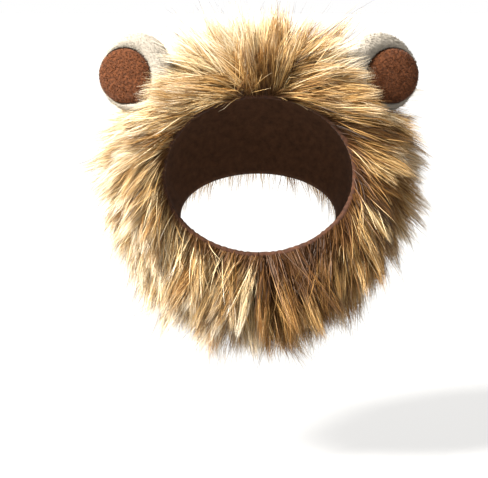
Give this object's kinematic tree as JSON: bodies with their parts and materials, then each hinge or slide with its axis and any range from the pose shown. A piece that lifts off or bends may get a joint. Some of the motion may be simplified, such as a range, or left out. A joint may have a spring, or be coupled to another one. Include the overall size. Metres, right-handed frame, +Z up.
{
  "type": "pet lion mane wig",
  "caption": "Fur lion mane wig for a cat or small dog: cloth hood open at face and neck, bound face opening, combed fur locks and plush ears",
  "frame": {"origin": "the crown seat: the inside top of the hood, where it sits on the head that wears it", "axes": "+Z up, -Y toward the face side, +X to the right in a view from the front"},
  "size_m": [0.205, 0.1268, 0.2014],
  "materials": {
    "hood_cloth": "matte brown woven cloth",
    "binding_cloth": "matte rust-brown rolled hem",
    "tab_web": "dark hook-and-loop web",
    "mane_fur": "golden long-pile faux fur with dark roots and cream tips",
    "ear_plush": "cream short-pile plush",
    "ear_pad_plush": "brown short-pile plush"
  },
  "bodies": {
    "root": {"hood_shell": "hood_cloth", "face_binding": "binding_cloth", "chin_tab": "tab_web", "mane_left": "mane_fur", "mane_right": "mane_fur", "ear_left_cup": "ear_plush", "ear_left_pad": "ear_pad_plush", "ear_right_cup": "ear_plush", "ear_right_pad": "ear_pad_plush"}
  },
  "joints": []
}
